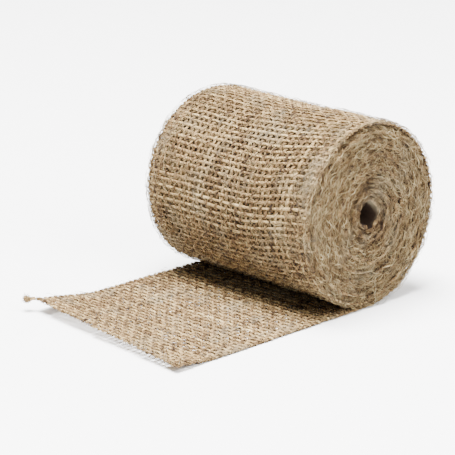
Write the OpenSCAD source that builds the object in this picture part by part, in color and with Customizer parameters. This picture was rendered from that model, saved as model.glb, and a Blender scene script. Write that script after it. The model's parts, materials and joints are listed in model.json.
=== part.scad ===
// A coreless roll of woven jute ribbon with a loose tail, in millimetres.
// Origin: centre of the winding hole, halfway across the ribbon. +Y runs along the hole,
// the tail lies towards -X, and the roll rests on a floor below it.

/* [Ribbon] */
// Width of the woven strip, edge to edge
ribbon_w = 100; // [50:1:160]
// Thickness of the cloth where it is wound
cloth_t = 1.8; // [1.2:0.1:2.6]

/* [Roll] */
// Turns of cloth in the roll
lap_count = 18; // [8:1:24]
// Diameter of the winding hole
hole_d = 12; // [8:0.5:24]
// Radial clearance between one lap and the next
lap_gap = 0.25; // [0.2:0.01:0.6]
// How far the edges of single laps stand in or out along the hole
edge_wander = 0.8; // [0:0.1:2]
// Half width of the patch that the soft roll flattens under its own weight
foot_l = 4; // [2:0.5:8]

/* [Tail] */
// Length of the loose tail, from under the roll's axis to its cut end
tail_l = 120; // [80:1:160]
// Number of stretches that the tail bends between
stretch_count = 11; // [8:1:16]
// How many of the last stretches rise at the far edge
raised_count = 4; // [2:1:6]
// Height above the floor that the far edge rises to, over the whole length of the tail
corner_lift = 6.5; // [0:0.5:12]
// How much shorter the tail is along its far edge, where the cut falls back
cut_slant = 9.5; // [0:0.5:10]
// Length of the cut end along its far edge, past the last bend
cut_far_l = 0.93; // [0.5:0.01:5]
// Clearance between one stretch and the next
stretch_gap = 0.3; // [0.2:0.05:0.6]

/* [Corner tuft] */
// Diameter of the frayed knot at the far corner
knot_d = 3.6; // [2:0.1:6]
// Diameter of the yarns that lead to the knot
neck_d = 1.6; // [1:0.1:2.4]
// Length from the neck's root to the middle of the knot
neck_l = 3.2; // [2:0.1:8]
// Clearance between the cut corner and the neck's root
neck_gap = 0.35; // [0.2:0.05:1]

/* [Hidden] */
$fn = 96;

// Winding: every lap is two half rings whose centres lie a quarter pitch below and above
// the hole, so each turn runs on into the next one without a kink.
pitch = cloth_t + lap_gap;
centre_shift = pitch / 4;
hole_r = hole_d / 2;
inner_end_t = cloth_t / 2;
first_lap_r = hole_r + inner_end_t + 3 * centre_shift;
roll_r = first_lap_r + (lap_count - 1) * pitch;
floor_z = -roll_r - centre_shift;
// Lap edges wander in steps of the golden angle, which never fall into a pattern
wander_step = 137.5;
// Opening at the inner end of the first lap, seen from the hole
inner_end_angle = 20;

// Tail: the first bend lies half a stretch from the roll's axis, so that the bent tail
// is a run of equal tangents round the roll. The last bend lies short of the cut's far corner.
cut_end_l = cut_slant + cut_far_l;
stretch_l = (tail_l - cut_end_l) / (stretch_count - 0.5);
flat_count = stretch_count - raised_count;
bar_l = 0.02;
near_edge = -ribbon_w / 2;
// The far corner of the slanted cut: its place along X, and its place counted in bends
cut_corner_x = -tail_l + cut_slant;
cut_corner_bend = stretch_count - cut_slant / cut_end_l;

jute_roll = [0.72, 0.60, 0.46];
jute_tail = [0.80, 0.70, 0.57];
jute_knot = [0.66, 0.52, 0.37];

function two_digits(n) = n < 10 ? str("0", n) : str(n);
function lap_name(n) = str("lap_", two_digits(n));
function stretch_name(k) = k == stretch_count ? "tail_cut_end" : str("tail_stretch_", two_digits(k));
function right_r(n) = first_lap_r + (n - 1) * pitch;
function left_r(n) = right_r(n) - pitch / 2;
function lap_shift(n) = edge_wander * sin((lap_count - n) * wander_step);
function bend_x(j) = j == stretch_count ? -tail_l : -stretch_l * (j + 0.5);
function bend_lift(j) = corner_lift * max(0, j - flat_count) / raised_count;
function bend_tilt(j) = asin(bend_lift(j) / ribbon_w);

// Half of a ring round an axis along Y; side is 1 for the +X half and -1 for the -X half
module half_ring(outer_r, wall, centre_z, side) {
    translate([0, 0, centre_z])
        rotate([90, 90 * side, 0])
            rotate_extrude(angle = 180)
                translate([outer_r - wall, -ribbon_w / 2])
                    square([wall, ribbon_w]);
}

// Block that opens a lap under the hole, from x = low_x to x = high_x
module lap_opening(low_x, high_x) {
    translate([low_x, -ribbon_w, floor_z - pitch])
        cube([high_x - low_x, 2 * ribbon_w, -floor_z]);
}

// Wedge that opens the first lap where the ribbon's inner end lies, from straight below the
// hole round towards -X
module inner_end_opening() {
    rotate([90, 90 + inner_end_angle, 0])
        rotate_extrude(angle = inner_end_angle)
            translate([0, -ribbon_w])
                square([first_lap_r + pitch, 2 * ribbon_w]);
}

// One turn of the winding, counted from the hole outwards. The first one is pressed
// round on its inside, and the last one opens onto the flat patch.
module lap(n) {
    wall = n == 1 ? cloth_t + pitch : cloth_t;
    color(jute_roll)
        translate([0, lap_shift(n), 0])
            difference() {
                union() {
                    half_ring(right_r(n), wall, -centre_shift, 1);
                    half_ring(left_r(n), wall, centre_shift, -1);
                }
                lap_opening(-stretch_gap / 2, n == lap_count ? foot_l : stretch_gap / 2);
                if (n == 1) {
                    rotate([90, 0, 0])
                        cylinder(r = hole_r, h = 2 * ribbon_w, center = true);
                    inner_end_opening();
                }
            }
}

// Flat stretch that the roll stands on, where the last lap runs on into the tail
module tail_under_roll() {
    start_x = bend_x(0) + stretch_gap / 2;
    color(jute_tail)
        translate([start_x, near_edge, floor_z])
            cube([foot_l - start_x, ribbon_w, cloth_t]);
}

// Thin strip of cloth along bend j, turned about its near edge so that the far edge rises
module bend_bar(j, x) {
    translate([x, near_edge, floor_z])
        rotate([bend_tilt(j), 0, 0])
            cube([bar_l, ribbon_w, cloth_t]);
}

// All that lies past the cut, whose line falls back from the near corner to the far one
module past_the_cut() {
    translate([-tail_l, near_edge, floor_z - cloth_t])
        rotate([0, 0, -atan(cut_slant / ribbon_w)])
            translate([-tail_l, -ribbon_w, 0])
                cube([tail_l, 3 * ribbon_w, corner_lift + 4 * cloth_t]);
}

// Stretch k of the tail, between bends k - 1 and k
module tail_stretch(k) {
    high_x = bend_x(k - 1) - stretch_gap / 2;
    low_x = bend_x(k) + (k == stretch_count ? 0 : stretch_gap / 2);
    color(jute_tail)
        if (bend_lift(k) == 0)
            translate([low_x, near_edge, floor_z])
                cube([high_x - low_x, ribbon_w, cloth_t]);
        else
            hull() {
                bend_bar(k - 1, high_x - bar_l);
                bend_bar(k, low_x);
            }
}

// The last stretch of the tail, as far as its slanted cut
module tail_cut_end() {
    color(jute_tail)
        difference() {
            tail_stretch(stretch_count);
            past_the_cut();
        }
}

// Frayed yarns drawn into a knot beyond the raised corner, pointing away from both edges
module corner_tuft() {
    root = neck_d / 2 + neck_gap;
    far_edge = near_edge + ribbon_w * cos(bend_tilt(cut_corner_bend));
    middle_z = floor_z + bend_lift(cut_corner_bend) + cloth_t / 2;
    color(jute_knot)
        translate([cut_corner_x, far_edge, middle_z])
            rotate([0, 0, 135])
                translate([root, 0, 0]) {
                    sphere(d = neck_d);
                    rotate([0, 90, 0])
                        cylinder(d = neck_d, h = neck_l);
                    translate([neck_l, 0, 0])
                        sphere(d = knot_d);
                }
}

for (n = [1:lap_count]) lap(n);
tail_under_roll();
for (k = [1:stretch_count - 1]) tail_stretch(k);
tail_cut_end();
corner_tuft();
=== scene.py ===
"""A coreless roll of woven jute ribbon with a loose tail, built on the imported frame.

Lengths are in metres. The roll's axis is along Y through the origin, and the tail runs to -X on the floor.
"""

import json
import math

import bpy
import numpy as np
from mathutils import Matrix, Vector

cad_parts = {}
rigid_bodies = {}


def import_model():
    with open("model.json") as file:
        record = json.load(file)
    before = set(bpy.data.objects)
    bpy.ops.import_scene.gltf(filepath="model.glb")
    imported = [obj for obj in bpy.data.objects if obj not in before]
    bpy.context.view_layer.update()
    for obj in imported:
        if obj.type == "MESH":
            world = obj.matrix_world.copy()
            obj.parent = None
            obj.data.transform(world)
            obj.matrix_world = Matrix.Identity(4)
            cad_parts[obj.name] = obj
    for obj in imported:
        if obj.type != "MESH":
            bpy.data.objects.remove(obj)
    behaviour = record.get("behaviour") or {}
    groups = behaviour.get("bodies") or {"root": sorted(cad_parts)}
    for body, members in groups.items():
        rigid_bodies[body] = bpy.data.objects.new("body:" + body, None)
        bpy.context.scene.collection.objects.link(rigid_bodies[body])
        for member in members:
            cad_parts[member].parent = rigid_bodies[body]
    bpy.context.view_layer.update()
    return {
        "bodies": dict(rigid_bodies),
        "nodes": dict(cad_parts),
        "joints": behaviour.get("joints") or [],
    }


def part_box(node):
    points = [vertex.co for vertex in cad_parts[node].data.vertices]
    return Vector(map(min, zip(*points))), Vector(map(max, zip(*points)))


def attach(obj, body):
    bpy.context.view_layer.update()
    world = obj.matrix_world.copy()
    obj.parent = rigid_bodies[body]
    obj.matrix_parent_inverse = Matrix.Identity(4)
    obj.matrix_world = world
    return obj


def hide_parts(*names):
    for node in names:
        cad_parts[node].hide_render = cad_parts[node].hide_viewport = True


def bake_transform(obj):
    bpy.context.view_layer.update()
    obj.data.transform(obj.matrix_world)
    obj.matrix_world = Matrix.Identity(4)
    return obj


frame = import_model()

MM = 0.001

# --- sizes taken from the frame ---

LAPS = sum(name.startswith("lap_") for name in frame["nodes"])
STRETCHES = sum(name.startswith("tail_") for name in frame["bodies"])
ROLL_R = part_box(f"lap_{LAPS:02d}")[1].x
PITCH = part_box(f"lap_{LAPS:02d}")[1].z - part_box(f"lap_{LAPS - 1:02d}")[1].z
CENTRE_SHIFT = PITCH / 4
RIBBON_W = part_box("tail_stretch_01")[1].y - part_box("tail_stretch_01")[0].y
CLOTH_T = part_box("tail_stretch_01")[1].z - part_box("tail_stretch_01")[0].z
FLOOR_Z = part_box("tail_stretch_01")[0].z
TAIL_L = -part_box("tail_cut_end")[0].x
JOINT_PLACES = {joint["name"]: Vector(joint["pos_m"]) for joint in frame["joints"] if "pos_m" in joint}
STRETCH_L = JOINT_PLACES["tail_curl"].x - JOINT_PLACES["tail_bend_02"].x
TUFT_ROOT = JOINT_PLACES["tuft_bend"]
KNOT_LOW, KNOT_HIGH = (np.array(corner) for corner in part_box("corner_tuft"))
# Along the tail, from under the roll's axis: the far corner of its cut, a little short of the tuft's root,
# and the bend from which its far edge rises
ROOT_PAST_CORNER = 0.8 * MM
CUT_CORNER = -TUFT_ROOT.x - ROOT_PAST_CORNER
CORNER_LIFT = TUFT_ROOT.z - FLOOR_Z - CLOTH_T / 2
HALF_BEND_GAP = 0.02 * STRETCH_L
RAISED_FROM = HALF_BEND_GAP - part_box("tail_stretch_07")[0].x

# --- the cloth ---

OUTER_MIDDLE_R = ROLL_R - CLOTH_T / 2 - PITCH / 4
OUTER_LAP_L = 2 * math.pi * OUTER_MIDDLE_R
LAP_ROWS = 86
ROW_PITCH = OUTER_LAP_L / LAP_ROWS
TAIL_ROWS = int(TAIL_L / ROW_PITCH)
WARP_PITCH = 3.03 * MM
EDGE_WARPS = 4
EDGE_WARP_PITCH = 1.7 * MM
# A yarn's section: half its width in the cloth, and half its height out of the cloth
WARP_HALF = (0.82 * MM, 0.34 * MM)
WEFT_HALF = (0.62 * MM, 0.42 * MM)
EDGE_WARP_HALF = 0.92 * MM
TAIL_FULLNESS = 1.1
# The length round a flattened yarn, for its maps
WARP_GIRTH = 2 * math.pi * WARP_HALF[0] * 0.75
WEFT_GIRTH = 2 * math.pi * WEFT_HALF[0] * 0.9
# How far wefts stand out past the edge warps, in warps
WEFT_OVERHANG = (0.3, 0.8)
# How far a yarn weaves out of the cloth's middle, and how much higher the wefts lie than the warps
WARP_WAVE = 0.42 * MM
WEFT_WAVE = 0.24 * MM
WEFT_RISE = 0.1 * MM
# How far yarns drift from their places, with a new drift every few rows or warps
WARP_DRIFT = 0.28 * MM
ROW_DRIFT = 0.38 * MM
DRIFT_ROWS = 3
DRIFT_WARPS = 4
# The rows' bow: its depth, the share of the width it takes to build up, and the share of a lap to fade out
ROW_BOW = 6 * MM
BOW_SHARE = 0.42
BOW_FADE = 1 / 9
CELL_STEPS = 4
YARN_SIDES = 6
WARP_TONE = -0.06
WEFT_TONE = 0.18
# Loose strands: how far they leave their yarn, in warps or rows and in height, and how thick they are
STRANDS_A_YARN = 3
WARP_STRAND_ASIDE = 0.34
WEFT_STRAND_ASIDE = 0.3
STRAND_WANDER = 0.34 * MM
STRAND_RISE = 0.05 * MM
STRAND_R = (0.07 * MM, 0.15 * MM)

# --- the roll's ends and its fuzz ---

WAIST = 0.45 * MM
DENT = 0.45 * MM
# How far the roll rounds over at its ends, over what length, and how much of it is left at the floor
EDGE_DROP = 0.4 * MM
EDGE_ROUND = 6 * MM
EDGE_DROP_AT_FLOOR = 0.3
# An end of the roll: its bumps, its laps' grain, how far the laps lie under the fibres, and its funnel
FACE_BUMP = 1.0 * MM
FACE_GRAIN = 0.35 * MM
FACE_SET_BACK = 0.5 * MM
FUNNEL = 2.6 * MM
FUNNEL_R = 11 * MM
# How far fibres keep from the hole's wall and from the rim
OFF_HOLE = 0.1 * MM
OFF_RIM = 0.5 * MM
# The crease above the hole: its middle, and half its length and width; the gap's half width; their depth
CREASE_X = 0.5 * MM
CREASE_Z = 15.5 * MM
CREASE_HALF = (5.5 * MM, 2.3 * MM)
GAP_HALF = 0.9 * MM
MARK_DEPTH = 2.0 * MM
# The inner laps' cloth: the columns of its section and the place of those at its corners, its felted edge,
# the slack between laps, how much thicker the first lap is at the hole, its weave's depths, and how far on
# in a row each lap's weave starts
EDGE_COLUMNS = 12
FINE_COLUMNS = 81
COARSE_COLUMNS = 6
CORNER_COLUMN = 0.6 * MM
FELT_EDGE = 4 * MM
FELT_FADE = 3 * MM
FELT_RISE = 0.1 * MM
LAP_SLACK = 0.12 * MM
HOLE_WALL = 0.3 * MM
WEAVE_BUMP = 0.14 * MM
WEAVE_PIT = 0.5 * MM
LAP_PHASE = 0.37
# The near corner of the cut: how high it curls up, and over what length
NEAR_CURL = 2.2 * MM
NEAR_CURL_L = 24 * MM

# --- the loose fibres: how many, and the least and most of their lengths and radii ---

FIBRE_STEPS = 5
FIBRE_SIDES = 3
# A direction that no fibre keeps to, so that every tube has a side to start from
FIBRE_LIFT = np.array([0.31, 0.87, 0.39])
# No fibre hangs lower than this under the cloth's middle
LOWEST_FIBRE = -0.45 * CLOTH_T
LOWEST_STRAND = -0.42 * CLOTH_T
FACE_FIBRES_A_METRE = 3900
FACE_FIBRE_L = (2.5 * MM, 8 * MM)
FACE_FIBRE_RADII = (0.05 * MM, 0.08 * MM, 0.13 * MM)
ROLL_HAIRS = 2900
TAIL_HAIRS = 60
HAIR_L = (2 * MM, 8 * MM)
HAIR_R = (0.04 * MM, 0.085 * MM)
HAIR_RISE = (0.3 * MM, 1.1 * MM)
# Both edges of the roll have a band with more hairs, and a fringe
EDGE_BAND = 9 * MM
EDGE_BAND_HAIRS = 1000
ROLL_EDGE_FIBRES = 260
TAIL_EDGE_FIBRES = 110
EDGE_ROOT = 0.8 * MM
EDGE_REACH = (0.2 * MM, 0.9 * MM)
EDGE_FIBRE_R = (0.03 * MM, 0.08 * MM)
FRAYS_A_WARP = 9
FRAY_REACH = (0.4 * MM, 2.0 * MM)
FRAY_R = (0.05 * MM, 0.16 * MM)
KNOT_FIBRES = 130
KNOT_FIBRE_R = (0.05 * MM, 0.12 * MM)

# --- the maps: margins round a strip's cell, and the space between strips in the yarn map ---

BAKE_MAP = 0
YARN_MAP = 1
END_MARGIN = 0.01
SIDE_MARGIN = 0.03
BAND_MARGIN = 0.004
STRIP_SPACE = 0.37


def smoothstep(value):
    """A value clipped to 0..1, with its ends eased: 3v^2 - 2v^3."""
    value = np.clip(value, 0, 1)
    return value * value * (3 - 2 * value)


def inset(share, margin):
    """A share of a length, 0 to 1, kept a margin away from both ends."""
    return margin + (1 - 2 * margin) * share


def lattice(values, row, column):
    """Random values on a lattice, read between its points with eased steps."""
    row = np.clip(row, 0, values.shape[0] - 1.001)
    column = np.clip(column, 0, values.shape[1] - 1.001)
    low_row = row.astype(int)
    low_column = column.astype(int)
    row_part = smoothstep(row - low_row)
    column_part = smoothstep(column - low_column)
    first = values[low_row, low_column] * (1 - column_part) + values[low_row, low_column + 1] * column_part
    second = values[low_row + 1, low_column] * (1 - column_part)
    second = second + values[low_row + 1, low_column + 1] * column_part
    return first * (1 - row_part) + second * row_part


def ripple_field(seed, shortest, longest, waves=16):
    """A smooth uneven height over a plane, about -1 to 1: sine waves of random lengths and headings."""
    rng = np.random.default_rng(seed)
    length = rng.uniform(shortest, longest, waves)
    heading = rng.uniform(0, 2 * np.pi, waves)
    phase = rng.uniform(0, 2 * np.pi, waves)
    along = 2 * np.pi * np.cos(heading) / length
    across = 2 * np.pi * np.sin(heading) / length

    def height(first, second):
        turns = first[..., None] * along + second[..., None] * across + phase
        return np.sin(turns).sum(-1) / math.sqrt(waves)

    return height


# --- where the cloth runs ---

face_ripple = ripple_field(3, 5 * MM, 15 * MM)
body_ripple = ripple_field(4, 22 * MM, 60 * MM)
fine_ripple = ripple_field(5, 1.1 * MM, 3.5 * MM)


def warp_places():
    """The warps across the ribbon: an even pitch in the middle and a closer one at both edges."""
    middle = RIBBON_W - 2 * EDGE_WARPS * EDGE_WARP_PITCH - 2 * WARP_HALF[0]
    count = round(middle / WARP_PITCH)
    inner = np.linspace(-middle / 2, middle / 2, count + 1)
    edge = middle / 2 + EDGE_WARP_PITCH * np.arange(1, EDGE_WARPS + 1)
    return np.concatenate([-edge[::-1], inner, edge])


WARP_Y = warp_places()
WARPS = len(WARP_Y)
weave_rng = np.random.default_rng(11)
warp_drift = weave_rng.uniform(-1, 1, ((LAP_ROWS + TAIL_ROWS) // DRIFT_ROWS + 4, WARPS + 2))
row_drift = weave_rng.uniform(-1, 1, (LAP_ROWS + TAIL_ROWS + 3, WARPS // DRIFT_WARPS + 3))


def across_ribbon(warp):
    """The place across the ribbon of a warp number, whole or part; past the edge warps it goes on."""
    numbers = np.arange(-1, WARPS + 1)
    places = np.concatenate([[WARP_Y[0] - EDGE_WARP_PITCH], WARP_Y, [WARP_Y[-1] + EDGE_WARP_PITCH]])
    return np.interp(warp, numbers, places)


def row_place(row, across):
    """How far along the ribbon a row lies, from where the roll meets the floor, positive on the tail.

    On the roll the rows bow back towards the middle of the width, and run straight near the floor."""
    place = (row + 0.5) * ROW_PITCH
    turned = -place / OUTER_LAP_L
    window = smoothstep(turned / BOW_FADE) * smoothstep((1 - turned) / BOW_FADE)
    bow = smoothstep((across + RIBBON_W / 2) / (BOW_SHARE * RIBBON_W))
    return place - ROW_BOW * bow * window


def crossing(row, warp):
    """Place along and across the ribbon of a row and a warp number, with each yarn's slow drift."""
    across = across_ribbon(warp)
    along = row_place(row, across)
    drift = lattice(warp_drift, (row + LAP_ROWS + 1) / DRIFT_ROWS, warp + 1)
    slip = lattice(row_drift, row + LAP_ROWS + 1, (warp + 1) / DRIFT_WARPS)
    return along + ROW_DRIFT * slip, across + WARP_DRIFT * drift


def roll_place(lap, turned, across, height):
    """A point of the wound cloth: turned goes 0 to 1 round a lap from its lowest line, up the tail's side
    first.

    Each half lap is an arc about its own centre, a quarter pitch above or below the axis, so that laps join.
    height is outwards from the cloth's middle. The roll is a little waisted and dented, and rounds over at
    both ends; this fades out at the floor, where the tail leaves."""
    angle = 2 * np.pi * turned
    rising = turned < 0.5
    lap_r = ROLL_R - (LAPS - lap) * PITCH - CLOTH_T / 2 - np.where(rising, PITCH / 2, 0)
    share = (lap_r / ROLL_R) ** 2
    clear_of_floor = smoothstep((1 - np.cos(angle)) * 1.5)
    dents = -WAIST * np.cos(np.pi * across / RIBBON_W) ** 2
    dents = dents + DENT * body_ripple(angle * ROLL_R / 2, across)
    ends = -EDGE_DROP * smoothstep((np.abs(across) - RIBBON_W / 2 + EDGE_ROUND) / EDGE_ROUND)
    ends = ends * (EDGE_DROP_AT_FLOOR + (1 - EDGE_DROP_AT_FLOOR) * clear_of_floor)
    radius = lap_r + height + (dents * clear_of_floor + ends) * share
    centre_z = np.where(rising, CENTRE_SHIFT, -CENTRE_SHIFT)
    return np.stack([-radius * np.sin(angle), across + 0 * radius, centre_z - radius * np.cos(angle)], -1)


def tail_place(along, across, height):
    """A point of the tail: flat on the floor, and lifted towards the far corner along straight rulings.

    The near corner curls up a little over its last stretch."""
    share = (across + RIBBON_W / 2) / RIBBON_W
    raised = np.clip((along - RAISED_FROM) / (CUT_CORNER - RAISED_FROM), 0, None)
    curl = NEAR_CURL * smoothstep((along - TAIL_L + NEAR_CURL_L) / NEAR_CURL_L) * np.clip(1 - share, 0, 1)
    lift = CORNER_LIFT * raised * share + curl
    return np.stack([-along, across, FLOOR_Z + CLOTH_T / 2 + lift + height], -1)


def cut_place(across):
    """How far along the tail the cut is: its line falls back from the near corner to the far one."""
    return TAIL_L + (CUT_CORNER - TAIL_L) * (across + RIBBON_W / 2) / RIBBON_W


def ribbon_place(along, across, height):
    """A point of the outer lap or of the tail, by its place along the ribbon from where they meet."""
    on_roll = along < 0
    wound = roll_place(LAPS, np.clip(1 + along / OUTER_LAP_L, 0, 1), across, height)
    loose = tail_place(along, across, height)
    return np.where(on_roll[..., None], wound, loose)


def ribbon_lift(along, across):
    """The direction out of the cloth, from the step between two heights."""
    step = ribbon_place(along, across, np.full_like(along, MM)) - ribbon_place(along, across, 0 * along)
    return step / np.linalg.norm(step, axis=-1, keepdims=True)


# --- meshes ---


class Piece:
    """Gathers closed strips, each a line of rings, and makes them one mesh with its maps and its tone."""

    def __init__(self):
        self.points = []
        self.tones = []
        self.quads = []
        self.ends = []
        self.quad_maps = []
        self.end_maps = []
        self.count = 0
        self.areas = []

    def add(self, rings, tones, length, girth):
        """Adds strips of rings (strip, step, side, xyz), closed by a fan at both ends.

        tones has a value for each strip and step, or for each side too. length and girth size the strip in
        its maps."""
        strips, steps, sides, _ = rings.shape
        poles = rings[:, [0, -1]].mean(2)
        strip, step, side = np.meshgrid(
            np.arange(strips), np.arange(steps - 1), np.arange(sides), indexing="ij"
        )
        first = self.count + (strip * steps + step) * sides
        following = (side + 1) % sides
        near, far = first + side, first + following
        corners = np.stack([near, near + sides, far + sides, far], -1)
        along = np.stack([step, step + 1, step + 1, step], -1) / (steps - 1)
        turn = np.stack([side, side, side + 1, side + 1], -1) / sides
        self.quads.append(corners.reshape(-1, 4))
        self.quad_maps.append(self.strip_maps(strip[..., None], along, turn, (strips, length, girth)))

        strip, end, side = np.meshgrid(np.arange(strips), np.arange(2), np.arange(sides), indexing="ij")
        first = self.count + (strip * steps + end * (steps - 1)) * sides
        pole = self.count + strips * steps * sides + strip * 2 + end
        following = (side + 1) % sides
        near_side = np.where(end == 0, side, following)
        far_side = np.where(end == 0, following, side)
        self.ends.append(np.stack([pole, first + near_side, first + far_side], -1).reshape(-1, 3))
        rim = inset(end, END_MARGIN)
        along = np.stack([end, rim, rim], -1)
        turn = np.stack([side + 0.5, near_side, far_side], -1) / sides
        self.end_maps.append(self.strip_maps(strip[..., None], along, turn, (strips, length, girth)))

        self.points.append(rings.reshape(-1, 3))
        self.points.append(poles.reshape(-1, 3))
        tones = np.broadcast_to(tones if tones.ndim == 3 else tones[..., None], rings.shape[:3])
        self.tones.append(tones.reshape(-1))
        self.tones.append(tones[:, [0, -1], 0].reshape(-1))
        self.count += strips * (steps * sides + 2)
        self.areas.append(strips * length * girth)

    def strip_maps(self, strip, along, turn, sizes):
        """A strip's cell in a grid of cells, its yarn map of metres along it and turns round it, and its
        group's number, by which the group is given its share of the square later."""
        strips, length, girth = sizes
        columns = max(1, round(math.sqrt(strips * girth / length)))
        rows = -(-strips // columns)
        bake_u = (strip % columns + inset(along, END_MARGIN)) / columns
        bake_v = (strip // columns + inset(turn, SIDE_MARGIN)) / rows
        bake = np.stack([bake_u, bake_v + 0 * bake_u], -1).reshape(-1, 2)
        yarn = np.stack([along * length + strip * STRIP_SPACE, turn + 0 * strip], -1).reshape(-1, 2)
        return bake, yarn, len(self.areas)

    def gathered_map(self, which):
        """All the maps of one kind, the quads' and then the fans'. In the bake map each group has a band of
        the square, by its area."""
        shares = np.array(self.areas) / sum(self.areas)
        starts = np.concatenate([[0], np.cumsum(shares)])
        found = []
        for *kinds, group in self.quad_maps + self.end_maps:
            values = kinds[which].copy()
            if which == BAKE_MAP:
                values[:, 1] = starts[group] + inset(values[:, 1], BAND_MARGIN) * shares[group]
            found.append(values)
        return np.concatenate(found)

    def build(self, name, material):
        """Makes the mesh object: points, quads and end fans, smooth, with two maps and a tone."""
        quads = np.concatenate(self.quads)
        ends = np.concatenate(self.ends)
        mesh = bpy.data.meshes.new(name)
        mesh.vertices.add(self.count)
        mesh.vertices.foreach_set("co", np.concatenate(self.points).astype(np.float32).ravel())
        corners = np.concatenate([quads.ravel(), ends.ravel()]).astype(np.int32)
        mesh.loops.add(len(corners))
        mesh.loops.foreach_set("vertex_index", corners)
        totals = np.concatenate([np.full(len(quads), 4), np.full(len(ends), 3)]).astype(np.int32)
        mesh.polygons.add(len(totals))
        mesh.polygons.foreach_set("loop_start", (np.cumsum(totals) - totals).astype(np.int32))
        mesh.polygons.foreach_set("loop_total", totals)
        mesh.polygons.foreach_set("use_smooth", np.ones(len(totals), bool))
        for map_name, which in (("OFBake", BAKE_MAP), ("Yarn", YARN_MAP)):
            layer = mesh.uv_layers.new(name=map_name)
            layer.uv.foreach_set("vector", self.gathered_map(which).astype(np.float32).ravel())
        tone = mesh.attributes.new("Tone", "FLOAT", "POINT")
        tone.data.foreach_set("value", np.concatenate(self.tones).astype(np.float32))
        mesh.update()
        mesh.validate()
        mesh.materials.append(material)
        piece = bpy.data.objects.new(name, mesh)
        bpy.context.scene.collection.objects.link(piece)
        return piece


def tube_rings(lines, lifts, half_width, half_height, sides):
    """Rings round lines (line, step, xyz): an ellipse, half_width across the line and half_height along
    the lift.

    The across direction is the line's own direction crossed with the lift, so each ring is square to it."""
    ahead = np.gradient(lines, axis=1)
    ahead /= np.linalg.norm(ahead, axis=-1, keepdims=True) + 1e-12
    across = np.cross(ahead, lifts)
    across /= np.linalg.norm(across, axis=-1, keepdims=True) + 1e-12
    up = np.cross(across, ahead)
    turn = 2 * np.pi * np.arange(sides) / sides
    wide = (half_width[..., None] * np.cos(turn))[..., None] * across[:, :, None]
    high = (half_height[..., None] * np.sin(turn))[..., None] * up[:, :, None]
    return lines[:, :, None] + wide + high


def slubs(rng, count, steps, spacing, amount):
    """How thick each yarn is along its length: 1, give or take an amount that changes every few steps."""
    values = rng.uniform(-1, 1, (count + 1, steps // spacing + 3))
    line = np.arange(count)[:, None] + np.zeros(steps)
    place = np.arange(steps)[None] / spacing + np.zeros((count, 1))
    return 1 + amount * lattice(values, line, place)


# --- the woven yarns ---


def add_warps(piece, fuzz, first_row, last_row, seed, fullness=1.0):
    """Warps from one row number to another, which may differ by warp: each goes over one row and under the
    next, as a cosine. fullness widens the yarns. Loose strands wander beside each and go into the fuzz."""
    rng = np.random.default_rng(seed)
    last_row = last_row + np.zeros((WARPS, 1))
    steps = max(3, round((last_row.max() - first_row) * CELL_STEPS) + 1)
    row = first_row + (last_row - first_row) * np.linspace(0, 1, steps)[None]
    warp = np.arange(WARPS)[:, None] + np.zeros((1, steps))
    along, across = crossing(row, warp)
    height = -WARP_WAVE * np.cos(np.pi * (row + warp)) - WEFT_RISE
    thick = slubs(rng, WARPS, steps, spacing=6, amount=0.16)
    lines = ribbon_place(along, across, height)
    at_edge = np.minimum(warp, WARPS - 1 - warp) < EDGE_WARPS
    wide = thick * np.where(at_edge, EDGE_WARP_HALF, WARP_HALF[0] * fullness)
    rings = tube_rings(lines, ribbon_lift(along, across), wide, WARP_HALF[1] * thick, YARN_SIDES)
    length = (last_row.max() - first_row) * ROW_PITCH
    piece.add(rings, yarn_tones(rng, WARPS, steps) + WARP_TONE, length, WARP_GIRTH)
    for _ in range(STRANDS_A_YARN):
        aside = WARP_STRAND_ASIDE * wander(rng, WARPS, steps)
        add_strands(fuzz, rng, row[:, ::2], (warp + aside)[:, ::2], height[:, ::2], length)


def add_wefts(piece, fuzz, rows, seed, fullness=1.0):
    """Wefts of whole row numbers, edge to edge or as far as the cut: each goes over one warp and under the
    next, and ends raggedly. Loose strands wander beside each and go into the fuzz."""
    rng = np.random.default_rng(seed)
    steps = (WARPS + 1) * CELL_STEPS
    start = -rng.uniform(*WEFT_OVERHANG, (len(rows), 1))
    past_cut = TAIL_L - (rows[:, None] + 0.5) * ROW_PITCH
    cut_across = RIBBON_W * np.clip(past_cut / (TAIL_L - CUT_CORNER), 0, 1) - RIBBON_W / 2
    cut_warp = np.interp(cut_across, WARP_Y, np.arange(WARPS))
    stop = cut_warp + rng.uniform(*WEFT_OVERHANG, (len(rows), 1))
    warp = start + (stop - start) * np.linspace(0, 1, steps)[None]
    row = rows[:, None] + np.zeros((1, steps))
    along, across = crossing(row, warp)
    height = WEFT_WAVE * np.cos(np.pi * (row + warp)) + WEFT_RISE
    thick = slubs(rng, len(rows), steps, spacing=9, amount=0.22)
    lines = ribbon_place(along, across, height)
    wide = WEFT_HALF[0] * thick * fullness
    rings = tube_rings(lines, ribbon_lift(along, across), wide, WEFT_HALF[1] * thick, YARN_SIDES)
    piece.add(rings, yarn_tones(rng, len(rows), steps) + WEFT_TONE, RIBBON_W, WEFT_GIRTH)
    for _ in range(STRANDS_A_YARN):
        aside = WEFT_STRAND_ASIDE * wander(rng, len(rows), steps)
        add_strands(fuzz, rng, (row + aside)[:, ::2], warp[:, ::2], height[:, ::2], RIBBON_W)


def wander(rng, count, steps):
    """A smooth random wandering for each yarn, about -1 to 1, that turns every cell or two."""
    return slubs(rng, count, steps, spacing=5, amount=1.0) - 1


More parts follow.
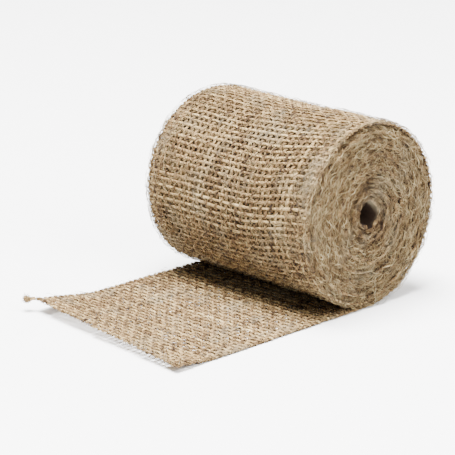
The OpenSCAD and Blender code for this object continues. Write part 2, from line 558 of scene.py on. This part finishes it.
def add_strands(fuzz, rng, row, warp, height, length):
    """Thin strands that have come loose from a yarn and wander beside it, by row and warp numbers."""
    along, across = crossing(row, warp)
    count, steps = row.shape
    height = height + STRAND_WANDER * wander(rng, count, steps) + STRAND_RISE
    lines = ribbon_place(along, across, np.maximum(height, LOWEST_STRAND))
    radius = rng.uniform(*STRAND_R, (count, 1)) + np.zeros((1, steps))
    rings = tube_rings(lines, ribbon_lift(along, across), radius, radius, FIBRE_SIDES)
    fuzz.add(rings, fibre_tones(rng, count, middle=0.5, spread=0.26, most=1.2), length, girth=0.6 * MM)


def yarn_tones(rng, count, steps):
    """How light each yarn is, 0 to 1: its own level, and slow changes along it."""
    own = rng.normal(0.5, 0.13, (count, 1))
    drift = slubs(rng, count, steps, spacing=9, amount=0.17) - 1
    return np.clip(own + drift, 0, 1)


def fibre_tones(rng, count, middle, spread, most=1.3):
    """How light each fibre is, the same all along it."""
    return np.clip(rng.normal(middle, spread, (count, 1)), 0, most)


# --- loose fibres ---


def fibre_rings(lines, radii):
    """Thin three-sided tubes along lines, thinner towards both ends."""
    steps = lines.shape[1]
    taper = 0.35 + 0.65 * np.sin(np.pi * np.linspace(0.08, 0.92, steps))
    half = radii[:, None] * taper[None]
    return tube_rings(lines, np.zeros_like(lines) + FIBRE_LIFT, half, half, FIBRE_SIDES)


def face_marks(x, z):
    """The deep places of an end of the roll, 0 to 1: a bell across a slanting crease above the hole, and one
    across the gap inside the last lap's edge, over its upper part. They are sunk into the face, and the
    fibres there are also painted darker as painted shade."""
    along_crease = (x - CREASE_X + z - CREASE_Z) / math.sqrt(2) / CREASE_HALF[0]
    off_crease = (x - CREASE_X - z + CREASE_Z) / math.sqrt(2) / CREASE_HALF[1]
    crease = np.exp(-(along_crease**2) - off_crease**2)
    gap = np.exp(-(((np.hypot(x, z) - ROLL_R + PITCH) / GAP_HALF) ** 2))
    upper = smoothstep((x + 2 * z) / ROLL_R - 0.7)
    return np.maximum(crease, gap * upper)


def face_relief(x, z, side):
    """How far an end of the roll stands out at a point: uneven, marked, and sunk in a funnel to the hole."""
    funnel = FUNNEL * np.clip(1 - np.hypot(x, z) / FUNNEL_R, 0, 1)
    return FACE_BUMP * 0.5 * face_ripple(x + side, z) - funnel - MARK_DEPTH * face_marks(-side * x, z)


def face_place(x, z, side, depth):
    """A point on an end of the roll: depth outwards from its uneven face."""
    out = RIBBON_W / 2 + face_relief(x, z, side) + depth
    return np.stack([x, side * out, z], -1)


def lap_shift(lap):
    """How far a lap is pushed along the axis, so that the edges don't line up."""
    low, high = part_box(f"lap_{lap:02d}")
    return (low.y + high.y) / 2


def add_face_fibres(piece, lap, side, seed):
    """The matted edge of a lap: fibres that start on it and wander over the face.

    Each fibre's heading starts mostly along the lap and turns steadily, and it arches out of the face."""
    rng = np.random.default_rng(seed)
    lap_length = 2 * np.pi * (ROLL_R - (LAPS - lap + 0.5) * PITCH)
    count = int(FACE_FIBRES_A_METRE * lap_length)
    turned = rng.uniform(0, 1, count)
    level = rng.uniform(-0.5, 0.5, count) * CLOTH_T
    start = roll_place(lap, turned, np.full(count, side * RIBBON_W / 2), level)
    tangent = np.arctan2(np.sin(2 * np.pi * turned), -np.cos(2 * np.pi * turned))
    backwards = rng.integers(0, 2, count) * np.pi
    heading = tangent + backwards + rng.normal(0, 0.5, count)
    bend = rng.normal(0, 1, count) * rng.uniform(0.05, 0.45, count)
    length = rng.uniform(*FACE_FIBRE_L, count) * (0.5 + 0.5 * lap_length / OUTER_LAP_L)
    steps = np.arange(FIBRE_STEPS)
    turning = heading[:, None] + bend[:, None] * (steps - FIBRE_STEPS / 2)
    step_l = length[:, None] / (FIBRE_STEPS - 1)
    x = start[:, 0, None] + np.cumsum(np.cos(turning) * step_l, 1) - np.cos(turning) * step_l
    z = start[:, 2, None] + np.cumsum(np.sin(turning) * step_l, 1) - np.sin(turning) * step_l
    x, z = keep_on_face(x, z)
    arch = rng.uniform(0.1, 0.9, count)[:, None] * np.sin(np.pi * steps / (FIBRE_STEPS - 1)) - 0.25
    lines = face_place(x, z, side, arch * MM * rng.choice([0.8, 1.6], (count, 1), p=[0.85, 0.15]))
    lines[..., 1] += lap_shift(lap)
    radii = rng.choice(FACE_FIBRE_RADII, count, p=[0.4, 0.4, 0.2])
    blotch_and_painted_shade = 0.28 * face_ripple(start[:, 0] * 1.6, start[:, 2] * 1.6)
    # Painted shade: the fibres are painted darker round the hole and in the crease and the gap, on top of
    # their random blotches.
    blotch_and_painted_shade = blotch_and_painted_shade - face_painted_shade(-side * x[:, FIBRE_STEPS // 2], z[:, FIBRE_STEPS // 2])
    tone = np.clip(rng.normal(0.5, 0.42, (count, 1)) + blotch_and_painted_shade[:, None], 0, 1.4)
    piece.add(fibre_rings(lines, radii), tone, length=7 * MM, girth=0.6 * MM)


def face_painted_shade(x, z):
    """Painted shade on an end of the roll: how much darker its fibres are painted at a point, round the hole
    and in its deep places.
    """
    near_hole = np.clip(1.7 - np.hypot(x, z) / FUNNEL_R, 0, 1)
    return 0.5 * near_hole + 0.8 * face_marks(x, z)


def keep_on_face(x, z):
    """Pulls points that would leave the roll's rim, or hang into its hole, back onto the face."""
    radius = np.hypot(x, z) + 1e-9
    hole_r = ROLL_R - (LAPS - 1) * PITCH - CLOTH_T + OFF_HOLE
    kept = np.clip(radius, hole_r, ROLL_R - OFF_RIM)
    return x * kept / radius, z * kept / radius


def ribbon_hairs(piece, count, spread, seed):
    """Stray hairs on the cloth: they start in it, wander along it in a slow curve, and stand a little off.

    spread has the first and last place along the ribbon, and the lowest and highest place across it."""
    rng = np.random.default_rng(seed)
    first_along, last_along, low_across, high_across = spread
    heading = rng.uniform(0, 2 * np.pi, count)
    bend = rng.normal(0, 0.3, count)
    length = rng.uniform(*HAIR_L, count)
    steps = np.arange(FIBRE_STEPS)
    turning = heading[:, None] + bend[:, None] * steps
    step_l = length[:, None] / (FIBRE_STEPS - 1)
    along = rng.uniform(first_along, last_along, (count, 1)) + np.cumsum(np.cos(turning) * step_l, 1)
    across = rng.uniform(low_across, high_across, (count, 1)) + np.cumsum(np.sin(turning) * step_l, 1)
    across = np.clip(across, -RIBBON_W / 2 - MM, RIBBON_W / 2 + MM)
    along = np.clip(along, first_along, np.minimum(last_along, cut_place(across)))
    rise = rng.uniform(*HAIR_RISE, (count, 1)) * np.sin(np.pi * 0.8 * steps / (FIBRE_STEPS - 1))
    lines = ribbon_place(along, across, CLOTH_T * 0.38 + rise)
    radii = rng.uniform(*HAIR_R, count)
    tone = fibre_tones(rng, count, middle=0.55, spread=0.35)
    piece.add(fibre_rings(lines, radii), tone, length=5 * MM, girth=0.3 * MM)


def edge_fuzz(piece, count, first_along, last_along, seed):
    """Short fibres along both long edges of a stretch of ribbon, pointing outwards and curling."""
    rng = np.random.default_rng(seed)
    side = rng.choice([-1.0, 1.0], (count, 1))
    steps = np.arange(FIBRE_STEPS) / (FIBRE_STEPS - 1)
    reach = rng.uniform(*EDGE_REACH, (count, 1))
    sway = rng.normal(0, 1.3, (count, 1)) * MM
    along = rng.uniform(first_along, last_along, (count, 1)) + sway * steps**2
    along = np.clip(along, first_along, np.minimum(last_along, cut_place(side * RIBBON_W / 2)))
    across = side * (RIBBON_W / 2 - EDGE_ROOT + reach * np.sin(steps * 2.2))
    height = rng.uniform(-0.3, 0.4, (count, 1)) * CLOTH_T + rng.normal(0, 0.4, (count, 1)) * MM * steps
    lines = ribbon_place(along, across, np.maximum(height, LOWEST_FIBRE))
    radii = rng.uniform(*EDGE_FIBRE_R, count)
    tone = fibre_tones(rng, count, middle=0.8, spread=0.2)
    piece.add(fibre_rings(lines, radii), tone, length=3 * MM, girth=0.4 * MM)


# --- the inner laps ---


def band_profile(fine):
    """The columns round a lap's section: over one edge, along the inside, over the other edge, and back
    along the outside.

    Each has its place across the ribbon and its level, -1 inside to 1 outside. fine adds columns."""
    reach = RIBBON_W / 2
    edge = np.linspace(reach - CORNER_COLUMN, reach - EDGE_BAND, EDGE_COLUMNS)
    columns = FINE_COLUMNS if fine else COARSE_COLUMNS
    middle = np.linspace(reach - EDGE_BAND, -reach + EDGE_BAND, columns)[1:-1]
    outside = np.concatenate([edge, middle, -edge[::-1]])
    inside = np.linspace(-reach + CORNER_COLUMN, reach - CORNER_COLUMN, COARSE_COLUMNS)
    rim = np.array([reach, reach + 0.1 * MM, reach])
    rim_level = np.array([-0.7, 0, 0.7])
    across = np.concatenate([outside, -rim, inside, rim])
    level = np.concatenate([np.ones(len(outside)), -rim_level, -np.ones(len(inside)), rim_level])
    return across[::-1], level[::-1]


def weave_relief(row, warp):
    """Height of woven cloth: bumps where a yarn comes over, and pits between the yarns."""
    bumps = WEAVE_BUMP * np.cos(np.pi * row) * np.cos(np.pi * warp)
    pits = WEAVE_PIT * (np.sin(np.pi * row) * np.sin(np.pi * warp)) ** 2
    return bumps - pits


def felted(across):
    """How far the cloth is felted, 0 to 1 towards its edges."""
    return smoothstep((np.abs(across) - RIBBON_W / 2 + FELT_EDGE) / FELT_FADE)


def lap_surface(lap, turned, across, level, rows):
    """The points of a lap's band: woven on its outside, felted at its edges, with its ends in the face."""
    warp = np.interp(across, WARP_Y, np.arange(WARPS))
    woven = weave_relief(turned * rows + lap * LAP_PHASE, warp) * (1 - felted(across))
    relief = np.where(level == 1, woven + FELT_RISE * felted(across), 0)
    height = level * (CLOTH_T / 2 - LAP_SLACK) + relief
    if lap == 1:
        height = np.where(level < 0, height - HOLE_WALL, height)
    points = roll_place(lap, turned, across, height)
    at_end = np.abs(across) >= RIBBON_W / 2 - CORNER_COLUMN - 0.1 * MM
    bump = face_relief(points[..., 0], points[..., 2], np.sign(across))
    grain = FACE_GRAIN * fine_ripple(points[..., 0] + lap, points[..., 2])
    push = np.sign(across) * (bump + grain - FACE_SET_BACK)
    points[..., 1] += np.where(at_end, push, 0) + lap_shift(lap)
    return points


def lap_tone(turned, across, level, lap_length):
    """How light a lap's band is: blotched, lighter where it is woven, and painted dark on its inside as
    painted shade, but not at the rim.
    """
    tone = np.clip(0.5 + 0.2 * face_ripple(turned * lap_length * 3, across), 0, 1)
    tone = tone + np.where(level == 1, 0.2 * (1 - felted(across)), -0.1)
    # Painted shade: the inside of the band, between the laps and on the hole's wall, is painted dark, except
    # near the rim.
    painted_shade_inside = smoothstep((RIBBON_W / 2 - np.abs(across)) / (1.2 * MM))
    return np.where(level < 0, tone - 1.8 * painted_shade_inside, tone)


def lap_cloth(lap, material):
    """A lap under the outer one, as one closed band of cloth. The outermost shows between the yarns over it,
    so it is finer."""
    seen_through = lap == LAPS - 1
    across, level = band_profile(seen_through)
    lap_length = 2 * math.pi * (ROLL_R - (LAPS - lap + 0.25) * PITCH - CLOTH_T / 2)
    rows = round(lap_length / ROW_PITCH)
    steps = rows * (CELL_STEPS if seen_through else CELL_STEPS // 2) + 1
    turned, across = np.meshgrid(np.linspace(0, 1, steps), across, indexing="ij")
    level = np.broadcast_to(level, across.shape)
    points = lap_surface(lap, turned, across, level, rows)
    tone = lap_tone(turned, across, level, lap_length)
    piece = Piece()
    piece.add(points[None], tone[None], lap_length, 2 * RIBBON_W)
    return piece.build(f"lap_cloth_{lap:02d}", material), lap_length


# --- finishes ---


class Wire:
    """A value in a material. An expression on wires adds its Math nodes."""

    def __init__(self, finish, socket):
        self.finish = finish
        self.socket = socket

    def _math(self, operation, first, second):
        return self.finish.node("ShaderNodeMath", {"operation": operation}, {0: first, 1: second})

    def __add__(self, other):
        return self._math("ADD", self, other)

    def __radd__(self, other):
        return self._math("ADD", other, self)

    def __sub__(self, other):
        return self._math("SUBTRACT", self, other)

    def __rsub__(self, other):
        return self._math("SUBTRACT", other, self)

    def __mul__(self, other):
        return self._math("MULTIPLY", self, other)

    def __rmul__(self, other):
        return self._math("MULTIPLY", other, self)


class Finish:
    """A node material under construction."""

    def __init__(self, name):
        self.material = bpy.data.materials.new(name)
        self.material.use_nodes = True
        self.tree = self.material.node_tree
        self.tree.nodes.clear()

    def node(self, kind, settings=None, inputs=None, output=0):
        """Adds a node: its settings first, a ramp's stops among them, then its sockets' values or links."""
        node = self.tree.nodes.new(kind)
        for key, value in (settings or {}).items():
            if key == "stops":
                for place, colour in value[len(node.color_ramp.elements) :]:
                    node.color_ramp.elements.new(place).color = colour
                for element, (place, colour) in zip(node.color_ramp.elements, value):
                    element.position = place
                    element.color = colour
            else:
                setattr(node, key, value)
        for key, value in (inputs or {}).items():
            if isinstance(value, Wire):
                self.tree.links.new(value.socket, node.inputs[key])
            else:
                node.inputs[key].default_value = value
        return Wire(self, node.outputs[output]) if node.outputs else None

    def noise(self, vector, scale, detail):
        """A noise in a space of the given places, about 0 to 1."""
        inputs = {"Vector": vector, "Scale": scale, "Detail": detail}
        return self.node("ShaderNodeTexNoise", inputs=inputs)

    def ramp(self, value, low, high, most):
        """Nothing up to the low value, rising to the most at the high one and past it."""
        inputs = {"Value": value, "From Min": low, "From Max": high, "To Min": 0.0, "To Max": most}
        return self.node("ShaderNodeMapRange", {"clamp": True}, inputs)

    def surface(self, inputs):
        """Puts a principled shader with these inputs on the surface."""
        shader = self.node("ShaderNodeBsdfPrincipled", inputs=inputs)
        self.node("ShaderNodeOutputMaterial", inputs={"Surface": shader})
        return self.material


def linear(red, green, blue):
    """A display colour, 0 to 255, as the linear colour that a shader takes."""
    parts = [c / 255 for c in (red, green, blue)]
    return tuple(c / 12.92 if c <= 0.04045 else ((c + 0.055) / 1.055) ** 2.4 for c in parts) + (1.0,)


JUTE_STOPS = [
    (0.0, linear(36, 23, 13)),
    (0.14, linear(92, 69, 43)),
    (0.35, linear(146, 120, 81)),
    (0.62, linear(184, 161, 116)),
    (1.0, linear(219, 203, 160)),
]
GREYED_JUTE = linear(148, 138, 112)
BUMP_DISTANCE = 0.3 * MM
PLIES = 2


def jute(name, light=0.0, twist=260.0, streak=1.0):
    """Jute yarn: straw to brown by yarn and in blotches, streaked along its twisted fibres, with dark
    flecks.

    The streaks are a noise squeezed along the yarn and slanted by its twist, in turns for each metre."""
    finish = Finish(name)
    tone = finish.node("ShaderNodeAttribute", {"attribute_name": "Tone"}, output="Fac")
    place = finish.node("ShaderNodeTexCoord", output="Object")
    yarn = finish.node("ShaderNodeUVMap", {"uv_map": "Yarn"})
    along = finish.node("ShaderNodeSeparateXYZ", inputs={0: yarn}, output="X")
    turn = finish.node("ShaderNodeSeparateXYZ", inputs={0: yarn}, output="Y")
    slant = turn + along * twist
    fibre_axes = {"X": along * 350.0, "Y": slant * 7.0, "Z": tone * 30.0}
    fibres = finish.noise(finish.node("ShaderNodeCombineXYZ", inputs=fibre_axes), scale=1.0, detail=2.0)
    ply = finish.node("ShaderNodeMath", {"operation": "SINE"}, {0: slant * (2 * PLIES * math.pi)})
    blotches = finish.noise(place, scale=210.0, detail=4.0)
    specks = finish.noise(place, scale=900.0, detail=1.0)
    weather = finish.noise(place, scale=75.0, detail=4.0)
    base = light - 0.25 - 0.55 * streak
    level = tone * 0.55 + fibres * (1.1 * streak) + blotches * 0.3 + ply * 0.05 + base
    level = level - finish.ramp(specks, low=0.7, high=0.78, most=0.45)
    straw = finish.node("ShaderNodeValToRGB", {"stops": JUTE_STOPS}, {0: level})
    # A colour mix takes its share from socket 0 and its colours from 6 and 7, and gives the result from 2
    mixed = {0: finish.ramp(weather, low=0.5, high=0.7, most=0.3), 6: straw, 7: GREYED_JUTE}
    colour = finish.node("ShaderNodeMix", {"data_type": "RGBA"}, mixed, output=2)
    height = fibres + ply * 0.35 + specks * 0.3
    relief = {"Strength": 0.8, "Distance": BUMP_DISTANCE, "Height": height}
    return finish.surface(
        {
            "Base Color": colour,
            "Roughness": 0.98 - level * 0.2,
            "Normal": finish.node("ShaderNodeBump", inputs=relief),
            "Specular IOR Level": 0.25,
        }
    )


def paper(name):
    """The floor: smooth white card with a faint grain."""
    finish = Finish(name)
    grain = finish.noise(finish.node("ShaderNodeTexCoord", output="Object"), scale=40.0, detail=2.0)
    return finish.surface({"Base Color": (0.97, 0.97, 0.97, 1), "Roughness": grain * 0.1 + 0.5})


# --- the pieces ---


def make_outer_lap(yarn_finish, fibre_finish):
    """The outer lap's yarns in two halves, each with its strands and hairs, and its matted edges."""
    middle_row = -LAP_ROWS // 2
    inner_edge = RIBBON_W / 2 - EDGE_BAND
    matted = Piece()
    for side in (-1, 1):
        add_face_fibres(matted, LAPS, side, 900 + side)
    edges = matted.build("outer_lap_edges", fibre_finish)
    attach(edges, "outer_turn")
    for name, first, last in (("front", -LAP_ROWS, middle_row), ("back", middle_row, 0)):
        yarns = Piece()
        fuzz = Piece()
        hairs = Piece()
        add_warps(yarns, fuzz, first - 0.5, last - 0.5, 31)
        add_wefts(yarns, fuzz, np.arange(first, last).astype(float), 32 - first)
        reach = ((first + 2) * ROW_PITCH, (last - 2) * ROW_PITCH)
        ribbon_hairs(hairs, ROLL_HAIRS // 2, (*reach, -inner_edge, inner_edge), 21 - first)
        for low_across, high_across in ((-RIBBON_W / 2, -inner_edge), (inner_edge, RIBBON_W / 2)):
            ribbon_hairs(hairs, EDGE_BAND_HAIRS // 2, (*reach, low_across, high_across), 23 - first)
        edge_fuzz(hairs, ROLL_EDGE_FIBRES, *reach, 22 - first)
        cloth = yarns.build(f"outer_lap_{name}", yarn_finish)
        strands = fuzz.build(f"outer_lap_{name}_fuzz", fibre_finish)
        stray = hairs.build(f"outer_lap_{name}_hairs", fibre_finish)
        for piece in (cloth, strands, stray):
            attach(piece, "outer_turn")
        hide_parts(f"lap_{LAPS:02d}", "tail_under_roll")


def make_inner_laps(felt_finish, fibre_finish):
    """The laps under the outer one, each with its matted edges."""
    for lap in range(1, LAPS):
        body = f"turn_{lap:02d}"
        fuzz = Piece()
        for side in (-1, 1):
            add_face_fibres(fuzz, lap, side, 40 + 2 * lap + (side > 0))
        fringe = fuzz.build(f"lap_fringe_{lap:02d}", fibre_finish)
        cloth, length = lap_cloth(lap, felt_finish)
        for piece in (fringe, cloth):
            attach(piece, body)
        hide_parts(f"lap_{lap:02d}")


def make_tail(material):
    """The tail, cut between the hinges into pieces of cloth, each with its fuzz."""
    for k in range(1, STRETCHES + 1):
        at_cut = k == STRETCHES
        first = STRETCH_L * (k - 1)
        last = TAIL_L if at_cut else STRETCH_L * k
        warp_end = cut_place(WARP_Y)[:, None] if at_cut else last
        yarns = Piece()
        fuzz = Piece()
        add_warps(yarns, fuzz, first / ROW_PITCH - 0.5, warp_end / ROW_PITCH - 0.5, 60, TAIL_FULLNESS)
        rows = np.arange(math.ceil(first / ROW_PITCH - 0.5), math.ceil(last / ROW_PITCH - 0.5))
        add_wefts(yarns, fuzz, rows.astype(float), 70 + k, TAIL_FULLNESS)
        ribbon_hairs(fuzz, TAIL_HAIRS, (first, last, -RIBBON_W / 2, RIBBON_W / 2), 90 + k)
        edge_fuzz(fuzz, TAIL_EDGE_FIBRES, first, last, 110 + k)
        if at_cut:
            frayed_end(fuzz, 130)
        cloth = yarns.build(f"tail_cloth_{k:02d}", material)
        strands = fuzz.build(f"tail_fuzz_{k:02d}", material)
        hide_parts("tail_cut_end" if at_cut else f"tail_stretch_{k:02d}")
        last - first
        for piece in (cloth, strands):
            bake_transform(piece)


def frayed_end(piece, seed):
    """Fibres at the cut end: tufts that go on from each warp for a millimetre or two, and spread."""
    rng = np.random.default_rng(seed)
    count = WARPS * FRAYS_A_WARP
    steps = np.arange(FIBRE_STEPS) / (FIBRE_STEPS - 1)
    warp = np.repeat(WARP_Y, FRAYS_A_WARP)[:, None] + rng.normal(0, 0.25, (count, 1)) * MM
    reach = rng.uniform(*FRAY_REACH, (count, 1))
    along = cut_place(warp) - EDGE_ROOT + reach * steps
    across = warp + rng.normal(0, 0.7, (count, 1)) * MM * steps**2
    height = rng.normal(0, 0.25, (count, 1)) * MM + rng.normal(0, 0.5, (count, 1)) * MM * steps**2
    lines = ribbon_place(along, across, np.maximum(height, LOWEST_FIBRE))
    radii = rng.uniform(*FRAY_R, count)
    tone = fibre_tones(rng, count, middle=0.55, spread=0.22)
    piece.add(fibre_rings(lines, radii), tone, length=2 * MM, girth=0.6 * MM)


# The tuft's own directions: away from the cloth along the neck, level across the neck, and up
OUTWARD = np.array([-math.sqrt(0.5), math.sqrt(0.5), 0.0])
LEVEL_ACROSS = np.array([math.sqrt(0.5), math.sqrt(0.5), 0.0])
UPWARD = np.array([0.0, 0.0, 1.0])
KNOT_R = (KNOT_HIGH[2] - KNOT_LOW[2]) / 2
KNOT_CENTRE = np.array([KNOT_LOW[0] + KNOT_R, KNOT_HIGH[1] - KNOT_R, (KNOT_LOW[2] + KNOT_HIGH[2]) / 2])
LOOP_R = 0.42 * KNOT_R
LOOP_YARN_R = 0.36 * KNOT_R
NECK_YARNS = 6
NECK_YARN_R = 0.42 * MM


def add_knot_loop(piece):
    """The knot: a thick yarn along a trefoil, which is sin t + 2 sin 2t one way, cos t - 2 cos 2t another
    way, and -sin 3t the third."""
    turn = np.linspace(0, 2 * np.pi, 49)[None, :, None]
    outward = (np.sin(turn) + 2 * np.sin(2 * turn)) * LOOP_R * 0.42
    upward = (np.cos(turn) - 2 * np.cos(2 * turn)) * LOOP_R * 0.42
    across = -np.sin(3 * turn) * LOOP_R * 0.7
    loop = KNOT_CENTRE + outward * OUTWARD + upward * UPWARD + across * LEVEL_ACROSS
    thick = np.full(loop.shape[:2], LOOP_YARN_R)
    rings = tube_rings(loop, np.zeros_like(loop) + LEVEL_ACROSS, thick, thick, 8)
    piece.add(rings, np.full((1, 1), 0.8), length=15 * MM, girth=3 * MM)


def add_knot_neck(piece, rng):
    """The neck: a few yarns that run straight from the cloth's corner into the knot."""
    corner = tail_place(np.array(CUT_CORNER), np.array(RIBBON_W / 2), np.array(0.0))
    part = np.linspace(0, 1, 9)[None, :, None]
    ends = KNOT_CENTRE + rng.normal(0, 0.25, (NECK_YARNS, 1, 3)) * KNOT_R
    starts = corner + OUTWARD * 0.6 * MM + rng.normal(0, 0.35, (NECK_YARNS, 1, 3)) * MM
    neck = starts * (1 - part) + ends * part
    thick = np.full(neck.shape[:2], NECK_YARN_R)
    rings = tube_rings(neck, np.zeros_like(neck) + UPWARD, thick, thick, 6)
    piece.add(rings, rng.uniform(0.5, 0.9, (NECK_YARNS, 1)), length=4 * MM, girth=2 * MM)


def add_knot_fibres(piece, rng):
    """Loose fibres that leave the knot all round it and curl."""
    heading = rng.normal(0, 1, (KNOT_FIBRES, 1, 3))
    heading /= np.linalg.norm(heading, axis=-1, keepdims=True)
    steps = (np.arange(FIBRE_STEPS) / (FIBRE_STEPS - 1))[None, :, None]
    curl = np.cross(heading, rng.normal(0, 1, (KNOT_FIBRES, 1, 3))) * 0.5 * steps**1.5
    lines = KNOT_CENTRE + KNOT_R * (heading * (0.5 + 0.5 * np.sin(steps * 1.9)) + curl)
    tone = fibre_tones(rng, KNOT_FIBRES, middle=0.6, spread=0.2)
    radii = rng.uniform(*KNOT_FIBRE_R, KNOT_FIBRES)
    piece.add(fibre_rings(lines, radii), tone, length=3 * MM, girth=0.5 * MM)


def make_tuft(material):
    """The tuft at the far cut corner: yarns that run out and knot, with loose fibres on the knot."""
    rng = np.random.default_rng(150)
    piece = Piece()
    add_knot_loop(piece)
    add_knot_neck(piece, rng)
    add_knot_fibres(piece, rng)
    tuft = piece.build("corner_knot", material)
    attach(tuft, "tuft")
    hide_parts("corner_tuft")


# --- camera, floor and light ---

VIEW_TURN = math.radians(45.27)
VIEW_DROP = math.radians(16.89)
VIEW_ROLL = math.radians(0.48)
VIEW_DISTANCE = 0.97
AIM = Vector((-0.690, 0.229, -0.293)) * ROLL_R
# The lens and the sensor's width, in millimetres of the camera's own
LENS = 167.95
SENSOR_W = 36
FLOOR_REACH = 3.0
SURROUNDINGS = 0.6


def make_camera():
    """A long lens that looks across the roll's near end: turned from +Y to +X, and a little downwards."""
    level = math.cos(VIEW_DROP)
    ahead = Vector((level * math.sin(VIEW_TURN), level * math.cos(VIEW_TURN), -math.sin(VIEW_DROP)))
    right = ahead.cross(Vector((0, 0, 1))).normalized()
    up = right.cross(ahead)
    right, up = (
        right * math.cos(VIEW_ROLL) + up * math.sin(VIEW_ROLL),
        up * math.cos(VIEW_ROLL) - right * math.sin(VIEW_ROLL),
    )
    camera = bpy.data.objects.new("camera", bpy.data.cameras.new("camera"))
    camera.data.lens = LENS
    camera.data.sensor_width = SENSOR_W
    rotation = Matrix((right, up, -ahead)).transposed()
    camera.matrix_world = Matrix.Translation(AIM - ahead * VIEW_DISTANCE) @ rotation.to_4x4()
    bpy.context.scene.collection.objects.link(camera)
    bpy.context.scene.camera = camera


def make_floor():
    """A wide white floor under the tail."""
    mesh = bpy.data.meshes.new("floor")
    corners = [(x * FLOOR_REACH, y * FLOOR_REACH, FLOOR_Z) for x, y in ((-1, -1), (1, -1), (1, 1), (-1, 1))]
    mesh.from_pydata(corners, [], [(0, 1, 2, 3)])
    mesh.materials.append(paper("white_floor"))
    floor = bpy.data.objects.new("floor", mesh)
    bpy.context.scene.collection.objects.link(floor)


def make_light(name, place, size, power):
    """A soft square lamp that looks at the roll: its place and side in metres, and its power in watts."""
    lamp = bpy.data.lights.new(name, "AREA")
    lamp.size = size
    lamp.energy = power
    light = bpy.data.objects.new(name, lamp)
    toward = -Vector(place)
    light.matrix_world = Matrix.Translation(place) @ toward.to_track_quat("-Z", "Y").to_matrix().to_4x4()
    bpy.context.scene.collection.objects.link(light)


def make_lights():
    """White surroundings, a broad lamp overhead and a weaker one on the camera's side."""
    world = bpy.data.worlds.new("white")
    world.use_nodes = True
    background = world.node_tree.nodes["Background"]
    background.inputs["Color"].default_value = (1, 1, 1, 1)
    background.inputs["Strength"].default_value = SURROUNDINGS
    bpy.context.scene.world = world
    make_light("overhead", place=(-0.3, 0.1, 2.2), size=1.3, power=430)
    make_light("front", place=(0.1, -1.1, 0.95), size=0.8, power=34)


make_camera()
make_floor()
make_lights()
roll_yarn = jute("jute_yarn")
# Painted light: the tail and its tuft take the roll's jute painted a little lighter, though it is the same
# ribbon.
painted_lighter_tail_yarn = jute("jute_tail_yarn", light=0.03)
loose_fibre = jute("jute_fibre", light=0.2, twist=30.0, streak=0.5)
felt = jute("jute_felt", twist=90.0)
make_outer_lap(roll_yarn, loose_fibre)
make_inner_laps(felt, loose_fibre)
make_tail(painted_lighter_tail_yarn)
make_tuft(painted_lighter_tail_yarn)
